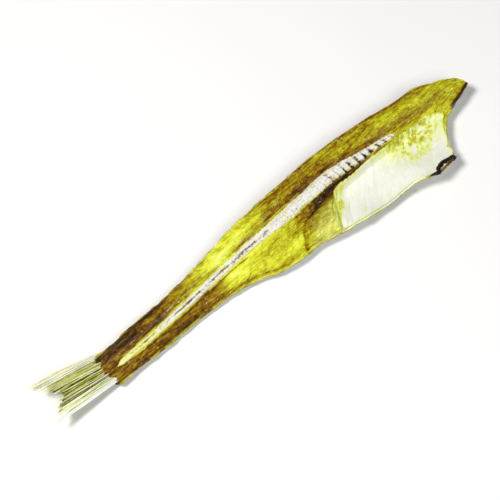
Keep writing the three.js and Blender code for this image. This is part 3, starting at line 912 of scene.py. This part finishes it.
def build_lining(sizes, colours):
    """The lining stops short of the flesh's own edges, on a line that is frayed along its fibres."""
    rows, columns = 330, 150

    def upper(u):
        x = lerp(*LINING_UPPER_X, u)
        return [x, cavity_roof(x) + 0.05 - 0.9 * smoothstep(x, 67.4, 69.2)]

    def lower(u):
        x = lerp(*LINING_LOWER_X, u)
        return [x, belly_edge(x) + 0.34]

    def rear(t):
        return follow([upper(0.0), (47.6, -3.3), (46.0, -5.0), lower(0.0)], t)

    def front(t):
        return follow([upper(1.0), (67.7, -5.6), (66.1, -7.6), lower(1.0)], t)

    u, v = np.meshgrid(np.linspace(0, 1, rows), np.linspace(0, 1, columns), indexing="ij")
    x, y = patch(upper, lower, rear, front, u, v)
    lane, length = wall_fibres(x, y)
    frayed = 0.6 * wobble(lane / 0.8, 80) + 0.3 * wobble(lane / 0.25, 81)
    fringe = 0.7 * frayed * np.exp(-v * 12) - 0.25 * frayed * np.exp(-(1 - u) * 20)
    x, y = x - FIBRE_X * fringe, y - FIBRE_Y * fringe
    torn = (0.45 * wobble(length / 1.7, 95) + 0.25 * wobble(length / 0.45, 96)) * np.exp(-u * 14)
    x, y = x + FIBRE_Y * torn, y - FIBRE_X * torn
    x = x + (0.32 * wobble(y / 0.8, 119) + 0.16 * wobble(y / 0.22, 120)) * np.exp(-(1 - u) * 26)
    lane, length = wall_fibres(x, y)
    y = y + 0.10 * wobble(x / 1.6, 82) * np.exp(-(1 - v) * 20)
    fibres = noise(lane / 0.15, length / 2.2, 83)
    rib = lane / (0.77 * sizes.vertebra_pitch / MM) + 0.35 * noise(length / 3.5, lane / 3, 84)
    ribs = near(rib - np.round(rib), 0.16) * smoothstep(v, 0.9, 0.4)
    ribs = ribs * (0.5 + 0.5 * noise(rib / 1.5, length / 3, 98))
    border = np.maximum(np.exp(-u * 34), np.maximum(np.exp(-v * 30), np.exp(-(1 - v) * 34)))
    lifted = 0.10 * border * positive(noise(lane / 1.3, length / 2, 85)) * (1 - np.exp(-u * 8))
    folds = 0.06 * (1 + noise(lane / 0.55, length / 3.5, 97)) + 0.05 * (1 + noise(x / 2.4, y / 1.8, 86))
    waves = (folds + 0.02 * (1 + fibres)) * (1 - 0.9 * np.exp(-u * 12))
    thickness = sizes.lining_thickness / MM * (1 - 0.6 * border)
    tucked = 0.24 * np.exp(-u * 26)
    upper_z = draped(x, y) + thickness + waves + 0.04 * ribs + lifted - tucked
    worn = smoothstep(x + 0.35 * y, 55, 62) * smoothstep(y - 0.45 * x, -37.5, -32.5)
    blotch = 0.5 * noise(x / 1.3, y / 0.9, 87) + 0.6 * noise(lane / 0.28, length / 0.8, 88)
    blotch = blotch + 0.9 * noise(x / 0.34, y / 0.3, 99)
    streak = smoothstep(noise(lane / 0.2, length / 0.5, 89) + 0.8 * noise(x / 1.3, y / 1.0, 90), -0.2, 1.4)
    thin = noise(lane / 0.3, length / 0.9, 100) + 0.6 * noise(lane / 0.9, length / 1.3, 107)
    thin = smoothstep(thin, -0.6, 0.6)
    tone = 0.87 + 0.03 * fibres - 0.04 * ribs - 0.66 * worn * smoothstep(blotch, -1.2, 0.8) - 0.13 * streak
    tone = tone - 0.55 * np.exp(-v * 14) * lerp(0.5, 1, thin) - 0.14 * np.exp(-(1 - v) * 18)
    tone = lerp(0.34 + 0.10 * fibres, tone, silvering(x, y))
    tone = np.clip(tone - 0.20 * np.exp(-(1 - u) * 26), 0.22, 1)
    over, under = (np.stack([x, y, upper_z - depth], -1) for depth in (0, thickness))
    make_shell("anchovy_belly_lining", over, under, lining_finish(colours), tone=(tone, tone))


def build_skin(sizes, colours):
    """The skin wraps the underside and stands a little proud of the flesh along both edges."""
    rows, columns, inner_columns = 500, 90, 30
    stations = np.linspace(TAIL_ROOT_X + 0.1, NECK_TIP_X - 0.02, rows)[:, None]

    def surface(count):
        back, belly = back_rim(stations) + SKIN_OVERHANG, belly_rim(stations) - SKIN_OVERHANG
        x, y = np.broadcast_arrays(stations, columns_between(back, belly, count, 0.85))
        under, _ = faces_at(x, np.clip(y, belly_edge(x) + 1e-3, back_edge(x) - 1e-3))
        scales = near(((x + 0.6 * y) / 1.05) % 1 - 0.5, 0.18) + near(((x - 0.6 * y) / 1.05) % 1 - 0.5, 0.18)
        scales = np.minimum(scales, 1) * blotches(x / 3.5, y / 1.5, 118, -0.6, 0.5)
        puckers = 0.06 * positive(noise(x / 3, y / 0.7, 92)) * smoothstep(np.abs(y + 0.5), 1.8, 2.4)
        height = under + skin_curl(x, y) + (0.024 * scales + puckers) * smoothstep(edge_gap(x, y), 0.1, 0.5)
        return x - 0.7 * frayed_end(x, y), y, height, scales

    x, y, outer, scales = surface(columns)
    position = (y - belly_edge(x)) / (back_edge(x) - belly_edge(x))
    silver_band = near(position - 0.52, 0.16)
    tone = 0.62 - 0.50 * smoothstep(position, 0.66, 0.86) + 0.26 * silver_band
    tone = tone + 0.12 * smoothstep(position, 0.4, 0.1) + 0.08 * noise(x / 3.5, y / 1.2, 93) - 0.10 * scales
    inner_x, inner_y, inner, _ = surface(inner_columns)
    edge_tone = 0.50 + 0.22 * wobble(inner_x / 1.2, 94)
    upper = np.stack([inner_x, inner_y, inner + sizes.skin_thickness / MM], -1)
    lower = np.stack([x, y, outer], -1)
    make_shell("anchovy_skin", upper, lower, skin_finish(colours), tone=(edge_tone, tone))


def ray_end(share):
    """X of the end of the ray at a share of the way from the belly side of the fin to its back side."""
    return lerp(-0.6, FIN_FORK_X, 1 - np.abs(2 * share - 1) ** 1.4)


def ray_point(share, along, end_x):
    """Points at a share of the way along a ray that ends at end_x."""
    x = lerp(RAY_ROOT_X, end_x, along)
    root_y = lerp(belly_edge(RAY_ROOT_X) + 0.40, back_edge(RAY_ROOT_X) - 0.35, share)
    y = lerp(root_y, lerp(FIN_BOTTOM_Y, FIN_TOP_Y, share), along**FIN_SPREAD)
    return np.stack(np.broadcast_arrays(x, y, skin_height(x, y) + 0.15 + 0.06 * along), -1)


def build_tail_fin(sizes, colours):
    """Each ray splits into three towards its end. The web between the rays is darker and torn."""
    rng = np.random.default_rng(101)
    rays = Strands(8)
    along = np.linspace(0, 1, 64)
    for i in range(sizes.fin_rays):
        share = i / (sizes.fin_rays - 1)
        stray = rng.uniform(-0.5, 0.5)
        end_x = ray_end(share) + 0.9 * stray
        height = rng.uniform(-0.03, 0.06)
        pale = 0.66 + 0.32 * rng.uniform(-1, 1) + 0.14 * share
        pale += 0.50 * near(share, 0.18) - 0.30 * near(share - 0.46, 0.20)
        girth = 1 + 0.5 * near(share, 0.10) + 0.2 * rng.uniform(-1, 1)
        for branch in (-1, 0, 1):
            path = ray_point(share, along, end_x + rng.uniform(0, 0.8))
            path[:, 1] += 0.22 * stray * along**2 + 0.075 * branch * smoothstep(along, 0.2, 0.9)
            path[:, 1] += 0.02 * np.sin(9 * along + i)
            path[:, 2] += height * along + 0.03 * np.sin(7 * along + i) + 0.02 * abs(branch)
            path[:, 2] -= 0.10 * np.exp(-along * 12)
            joints = 1 - 0.12 * (np.cos(along * 2 * np.pi * 21) > 0.6) * smoothstep(along, 0.3, 0.5)
            radii = girth * lerp(0.085, 0.030, along) * joints * lerp(0.3, 1, smoothstep(along, 0, 0.10))
            tone = pale - 0.3 * np.exp(-along * 10) + 0.18 * noise(along * 5, i + 0.3 * branch, 106)
            tone = tone + 0.12 * (branch == 0) - 0.5 * (1 - joints)
            rays.add(path, radii, np.clip(tone, 0, 1), flatness=0.75)
    rays.build("anchovy_fin_rays", fin_finish(colours))

    down, share = np.meshgrid(np.linspace(0, 1, 90), np.linspace(0.99, 0.01, 240), indexing="ij")
    tears = 0.30 * positive(noise(share * 22, 3.5, 104) - 0.25)
    ends = 0.93 + 0.07 * wobble(share * 15, 102) + 0.05 * wobble(share * 60, 103) - tears
    web = ray_point(share, ends * (1 - down), ray_end(share))
    web[..., 2] += 0.05 * np.sin(share * 2 * np.pi * (sizes.fin_rays - 1)) * (1 - down) - 0.05
    tone = 0.42 + 0.44 * noise(share * 34, down * 2, 105) + 0.26 * noise(share * 80, down * 3, 113)
    tone = tone + 0.4 * smoothstep(0.24 - share, 0, 0.15) - 0.34 * near(share - 0.46, 0.22)
    tone = np.clip(tone + 0.14 * smoothstep(share, 0.7, 0.95), 0, 1)
    under = web - (0, 0, sizes.web_thickness / MM)
    make_shell("anchovy_fin_web", web, under, fin_finish(colours), tone=(tone, tone))


def lying(x, y, lift):
    """Points just over the cut face."""
    inside = np.clip(y, belly_edge(x) + 0.02, back_edge(x) - 0.02)
    return np.stack([x, y, faces_at(x, inside)[1] + lift], -1)


def build_fibres(sizes, colours):
    """Torn fibres, mostly along the edges, and chips of skin and muscle on the cut face."""
    rng = np.random.default_rng(111)
    strands = Strands(6)
    t = np.linspace(0, 1, 12)
    for _ in range(sizes.shreds):
        x0 = rng.uniform(12, 73)
        low, high = float(belly_edge(x0)), float(back_edge(x0))
        places = [rng.uniform(-0.004, 0.015), rng.uniform(0.985, 1.004), rng.uniform(0.1, 0.9)]
        share = rng.choice(places, p=[0.4, 0.35, 0.25])  # by the belly edge, by the back edge or between them
        size = rng.uniform(0.4, 1.4)
        angle = rng.normal(0, 0.22) + rng.normal(0, 0.5) * t
        x = np.clip(x0 + np.cumsum(np.cos(angle)) * size / len(t), 11, NECK_TIP_X - 0.4)
        y = lerp(low, high, share) + np.cumsum(np.sin(angle)) * size / len(t)
        y = np.clip(y, belly_edge(x) - 0.12, back_edge(x) + 0.12)
        path = lying(x, y, 0.02 + rng.uniform(0.0, 0.14) * t**2)
        radii = lerp(0.035, 0.012, t) * rng.uniform(0.6, 1.3)
        strands.add(path, radii, rng.choice([1.0, 0.88, 0.7, 0.4, 0.25]))
    strands.build("anchovy_fibres", shred_finish(colours))

    chips = Strands(5)
    t = np.linspace(0, 1, 6)
    for _ in range(sizes.chips):
        x0 = rng.uniform(13, 70)
        y0 = lerp(float(belly_edge(x0)), float(back_edge(x0)), rng.beta(0.45, 0.45) * 0.94 + 0.03)
        size = rng.uniform(0.06, 0.20)
        angle = rng.uniform(-0.9, 0.9)
        x, y = x0 + (t - 0.5) * size * 1.5 * math.cos(angle), y0 + (t - 0.5) * size * 1.5 * math.sin(angle)
        outline = np.sqrt(np.clip(1 - (2 * t - 1) ** 2, 0.02, 1)) * rng.uniform(0.6, 1.2, len(t))
        path = lying(x, y, 0.04 + 0.08 * rng.random() * t)
        chips.add(path, 0.4 * size * outline, rng.choice([1.0, 0.95, 0.85, 0.7, 0.25]), 0.2)
    chips.build("anchovy_chips", shred_finish(colours))


def lumpy(path, widths, heights, sides, seed):
    """A swept shred whose section swells and shrinks unevenly."""
    t = np.linspace(0, 1, len(path))[:, None]
    angle = np.linspace(0, 2 * np.pi, sides, endpoint=False)[None, :]
    at = t * len(path)
    swell = 1 + 0.18 * noise(at / 11, angle * 1.3, seed) + 0.10 * noise(at / 3, angle * 3, seed + 1)
    return sweep(path, widths[:, None] * swell, heights[:, None] * swell, sides)


def build_gut(sizes, colours):
    """The shred of gut on the belly's corner, the kidney's dried blood by the backbone, and its flecks."""
    finish = gut_finish(colours)
    t = np.linspace(0, 1, 110)
    x, y, width = follow([
        (59.9, -9.45, 0.10), (60.7, -9.95, 0.20), (61.3, -10.15, 0.36), (62, -9.8, 0.47), (63, -9.55, 0.45),
        (64.1, -9.7, 0.43), (64.9, -9.9, 0.38), (65.3, -9.98, 0.08),
    ], t)
    rings = lumpy(np.stack([x, y, faces_at(x, y + 0.25)[1] + 0.05], -1), width, 0.8 * width, 22, 121)
    shred = Strands(22)
    shred.add_rings(rings, 0.12)
    shred.build("anchovy_gut_shred", finish)

    crust = Strands(18)
    t = np.linspace(0, 1, 160)
    x, y, width = follow([
        (55.5, -1.42, 0.05), (53.6, -1.40, 0.20), (51.6, -1.25, 0.30), (49.6, -1.22, 0.36),
        (47.6, -1.62, 0.34), (46, -2.0, 0.24), (44.8, -2.3, 0.12), (43.8, -2.6, 0.04),
    ], t)
    y = y + 0.12 * wobble(x / 0.9, 123)
    width = width * (1 + 0.45 * wobble(x / 0.4, 124))
    tone = 0.40 + 0.35 * wobble(x / 0.8, 127)
    path = np.stack([x, y, faces_at(x, y)[1] - 0.02], -1)
    crust.add_rings(lumpy(path, width, 0.10 + 0.12 * width, 18, 125), tone)
    crust.build("anchovy_kidney", finish)

    rng = np.random.default_rng(128)
    flecks = Strands(6)
    t = np.linspace(0, 1, 8)
    for _ in range(sizes.flecks):
        x0 = rng.uniform(45, 62)
        start = float(spine_y(x0)) - float(backbone_radius(x0)) * rng.uniform(0.85, 1.0)
        size = rng.uniform(0.25, 0.75)
        angle = FIBRE_ANGLE + rng.normal(0, 0.5)
        drop = rng.uniform(0, 0.5) * smoothstep(x0, 55, 50)
        x, y = x0 - size * math.cos(angle) * t, start - drop - size * math.sin(angle) * t
        girth = rng.uniform(0.04, 0.11) * np.sin(np.pi * (0.06 + 0.88 * t)) ** 0.6
        flecks.add(lying(x, y, 0.05), girth, rng.choice([0.1, 0.4, 0.7, 0.95]), 0.3)
    flecks.build("anchovy_blood_flecks", finish)


# ---------------------------------------- the stage, in metres in the row's frame

KEY_PLACE = (-0.153, 0.068, 0.296)
FILL_PLACE = (0.02, -0.22, 0.26)
CAMERA_TARGET = (-0.00196, 0.00292, 0.001)
LENS = 90  # this and the next in millimetres
SENSOR_WIDTH = 36
FLOOR_HALF_WIDTH = 0.6
FLOOR_ROWS = 40
FLOOR_SINK = 0.00002


def add_light(name, place, size, power, colour):
    """A round light, pointed at the middle of the fish."""
    data = bpy.data.lights.new(name, "AREA")
    data.shape = "DISK"
    data.size = size
    data.energy = power
    data.color = colour
    light = bpy.data.objects.new(name, data)
    light.location = place
    light.rotation_euler = (-Vector(place)).to_track_quat("-Z", "Y").to_euler()
    bpy.context.scene.collection.objects.link(light)


def build_stage(stage, colours):
    """The table, the white room, two lights and the camera."""
    u = np.linspace(-FLOOR_HALF_WIDTH, FLOOR_HALF_WIDTH, FLOOR_ROWS)
    x, y = np.meshgrid(u, u[::-1], indexing="ij")
    points = np.stack([x, y, np.full_like(x, -FLOOR_SINK)], -1).reshape(-1, 3)
    mesh = bpy.data.meshes.new("table")
    mesh.from_pydata(points.tolist(), [], grid_quads(np.arange(x.size).reshape(x.shape)).tolist())
    mesh.materials.append(floor_finish(colours))
    table = bpy.data.objects.new("table", mesh)
    bpy.context.scene.collection.objects.link(table)

    world = bpy.data.worlds.new("studio")
    world.use_nodes = True
    world.node_tree.nodes["Background"].inputs["Color"].default_value = (1, 1, 1, 1)
    world.node_tree.nodes["Background"].inputs["Strength"].default_value = stage.surround
    bpy.context.scene.world = world
    add_light("key", KEY_PLACE, 0.10, stage.key, (1.0, 0.98, 0.94))
    add_light("fill", FILL_PLACE, 0.20, stage.fill, (0.96, 0.98, 1.0))

    azimuth, elevation = stage.azimuth, stage.elevation
    level = math.cos(elevation)
    away = Vector((level * math.sin(azimuth), -level * math.cos(azimuth), math.sin(elevation)))
    data = bpy.data.cameras.new("camera")
    data.lens = LENS
    data.sensor_width = SENSOR_WIDTH
    data.clip_start = 0.002
    camera = bpy.data.objects.new("camera", data)
    camera.location = Vector(CAMERA_TARGET) + away * stage.frame_width * LENS / SENSOR_WIDTH
    camera.rotation_euler = (-away).to_track_quat("-Z", "Y").to_euler()
    bpy.context.scene.collection.objects.link(camera)
    bpy.context.scene.camera = camera
    bpy.context.scene.view_settings.view_transform = "Standard"


# ---------------------------------------- settings, operators and panel


def metres(name, description, millimetres):
    return bpy.props.FloatProperty(
        name=name, description=description, default=millimetres * MM, min=0, precision=5,
        unit="LENGTH", subtype="DISTANCE",
    )


def whole(name, description, default, fewest=0):
    return bpy.props.IntProperty(name=name, description=description, default=default, min=fewest)


def paint(name, description, red, green, blue):
    return bpy.props.FloatVectorProperty(
        name=name, description=description, default=srgb(red, green, blue), min=0, max=1, size=3,
        subtype="COLOR",
    )


def degrees(name, description, angle):
    return bpy.props.FloatProperty(
        name=name, description=description, default=math.radians(angle), subtype="ANGLE"
    )


def watts(name, description, power):
    return bpy.props.FloatProperty(name=name, description=description, default=power, unit="POWER")


class AnchovySizes(bpy.types.PropertyGroup):
    vertebra_pitch: metres("Vertebra pitch", "Length of a vertebra and the muscle segment beside it", 1.214)
    fibre_relief: metres("Fibre relief", "Height of the long bundles of the cut face", 0.06)
    seam_depth: metres("Seam depth", "Depth of the seams between the segments of the muscle", 0.025)
    skin_thickness: metres("Skin thickness", "Thickness of the dried skin", 0.09)
    lining_thickness: metres("Lining thickness", "Thickness of the lining of the belly", 0.04)
    web_thickness: metres("Web thickness", "Thickness of the web between the fin rays", 0.05)
    fin_rays: whole("Fin rays", "Rays of the tail fin", 23, fewest=5)
    shreds: whole("Shreds", "Torn fibres on the flesh and its edges", 90)
    chips: whole("Chips", "Chips of skin and muscle on the cut face", 80)
    flecks: whole("Flecks", "Flecks of dried blood beside the backbone", 140)


class AnchovyColours(bpy.types.PropertyGroup):
    # Crack also colours the painted shade on the cut at the neck.
    crack: paint("Crack", "Cracks and the cut at the neck", 34, 20, 1)
    dark_brown: paint("Dark brown", "Thickest and darkest flesh", 76, 42, 2)
    brown: paint("Brown", "Brown flesh", 122, 78, 2)
    amber: paint("Amber", "Amber flesh", 152, 124, 4)
    olive: paint("Olive", "Olive flesh", 172, 165, 14)
    lime: paint("Lime", "Light olive flesh", 205, 206, 40)
    yellow: paint("Yellow", "Thin bright flesh", 236, 242, 62)
    pale: paint("Pale", "Palest flesh and fibres", 246, 250, 146)
    silver: paint("Silver", "Silver white of the lining and bone", 242, 245, 218)
    white: paint("White", "Brightest white of the lining", 254, 255, 249)
    worn: paint("Worn lining", "Flesh showing through the worn lining", 204, 204, 78)
    straw: paint("Straw", "Thin yellow lining", 224, 233, 98)
    cream: paint("Cream", "Nearly white lining", 241, 248, 160)
    cloudy: paint("Cloudy", "Cloudy flesh behind the belly cavity", 200, 197, 92)
    bone: paint("Bone", "Bone of the backbone", 240, 236, 232)
    bone_shade: paint("Bone shade", "Greyer bone", 150, 138, 118)
    skin_dark: paint("Dark skin", "Skin along the back", 52, 44, 20)
    skin_shade: paint("Shaded skin", "Skin between the back and the silver band", 186, 180, 110)
    skin_silver: paint("Silver skin", "Silver band along the flank", 226, 228, 206)
    fin_dark: paint("Dark fin", "Dark streaks in the fin", 84, 76, 12)
    fin_shade: paint("Shaded fin", "Duller web and rays of the fin", 174, 174, 56)
    fin_pale: paint("Pale fin", "Pale green rays of the fin", 232, 238, 146)
    gut: paint("Gut", "Shred of gut", 22, 11, 4)
    floor: paint("Floor", "Table under the fish", 250, 250, 250)


class AnchovyStage(bpy.types.PropertyGroup):
    azimuth: degrees("Azimuth", "Camera angle round the fish", -43)
    elevation: degrees("Elevation", "Camera angle above the table", 66)
    frame_width: metres("Frame width", "Width of the picture at the fish", 68)
    key: watts("Key", "Power of the key light", 0.99)
    fill: watts("Fill", "Power of the fill light", 0.4)
    surround: bpy.props.FloatProperty(
        name="Surround", description="Brightness of the white room", default=0.14
    )


class AnchovyOperator:
    """What the operators that add a piece have in common."""

    bl_options = {"REGISTER", "UNDO"}

    def execute(self, context):
        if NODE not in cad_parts:
            raise RuntimeError("the packed part has no node " + NODE)
        if abs((NECK_TIP_X - ORIGIN[0]) * MM - cad_bounds[1][0]) > 0.01 * MM:
            raise RuntimeError("the neck's tip doesn't reach the end of the packed part")
        self.build(context.scene.anchovy_sizes, context.scene.anchovy_colours)
        return {"FINISHED"}


class ANCHOVY_OT_flesh(AnchovyOperator, bpy.types.Operator):
    """Add the dried flesh with its cut face"""

    bl_idname = "anchovy.flesh"
    bl_label = "Flesh"
    build = staticmethod(build_flesh)


class ANCHOVY_OT_backbone(AnchovyOperator, bpy.types.Operator):
    """Add the backbone along the cut face"""

    bl_idname = "anchovy.backbone"
    bl_label = "Backbone"
    build = staticmethod(build_backbone)


class ANCHOVY_OT_lining(AnchovyOperator, bpy.types.Operator):
    """Add the silver lining of the belly"""

    bl_idname = "anchovy.lining"
    bl_label = "Belly lining"
    build = staticmethod(build_lining)


class ANCHOVY_OT_skin(AnchovyOperator, bpy.types.Operator):
    """Add the skin under the flesh and along its edges"""

    bl_idname = "anchovy.skin"
    bl_label = "Skin"
    build = staticmethod(build_skin)


class ANCHOVY_OT_tail_fin(AnchovyOperator, bpy.types.Operator):
    """Add the rays of the tail fin and the web between them"""

    bl_idname = "anchovy.tail_fin"
    bl_label = "Tail fin"
    build = staticmethod(build_tail_fin)


class ANCHOVY_OT_fibres(AnchovyOperator, bpy.types.Operator):
    """Add the torn fibres and the chips of skin and muscle"""

    bl_idname = "anchovy.fibres"
    bl_label = "Fibres"
    build = staticmethod(build_fibres)


class ANCHOVY_OT_gut(AnchovyOperator, bpy.types.Operator):
    """Add the shred of gut, the dried blood of the kidney and its flecks"""

    bl_idname = "anchovy.gut"
    bl_label = "Gut and kidney"
    build = staticmethod(build_gut)


class ANCHOVY_OT_stage(bpy.types.Operator):
    """Add the table, the lights and the camera"""

    bl_idname = "anchovy.stage"
    bl_label = "Stage"
    bl_options = {"REGISTER", "UNDO"}

    def execute(self, context):
        build_stage(context.scene.anchovy_stage, context.scene.anchovy_colours)
        return {"FINISHED"}


OPERATORS = (
    ANCHOVY_OT_flesh, ANCHOVY_OT_backbone, ANCHOVY_OT_lining, ANCHOVY_OT_skin, ANCHOVY_OT_tail_fin,
    ANCHOVY_OT_fibres, ANCHOVY_OT_gut, ANCHOVY_OT_stage,
)
GROUPS = {"anchovy_sizes": AnchovySizes, "anchovy_colours": AnchovyColours, "anchovy_stage": AnchovyStage}


class ANCHOVY_PT_panel(bpy.types.Panel):
    """Lists the pieces of the fish and their settings"""

    bl_label = "Dried anchovy half"
    bl_idname = "ANCHOVY_PT_panel"
    bl_space_type = "VIEW_3D"
    bl_region_type = "UI"
    bl_category = "Anchovy"

    def draw(self, context):
        for operator in OPERATORS:
            self.layout.operator(operator.bl_idname)
        for name in GROUPS:
            group = getattr(context.scene, name)
            column = self.layout.column()
            for key in type(group).__annotations__:
                column.prop(group, key)


CLASSES = (*GROUPS.values(), *OPERATORS, ANCHOVY_PT_panel)


def register():
    for cls in CLASSES:
        bpy.utils.register_class(cls)
    for key, group in GROUPS.items():
        setattr(bpy.types.Scene, key, bpy.props.PointerProperty(type=group))


def unregister():
    for key in GROUPS:
        delattr(bpy.types.Scene, key)
    for cls in reversed(CLASSES):
        bpy.utils.unregister_class(cls)


def main():
    register()
    for operator in OPERATORS:
        group, name = operator.bl_idname.split(".")
        getattr(getattr(bpy.ops, group), name)()


if __name__ == "__main__":
    main()
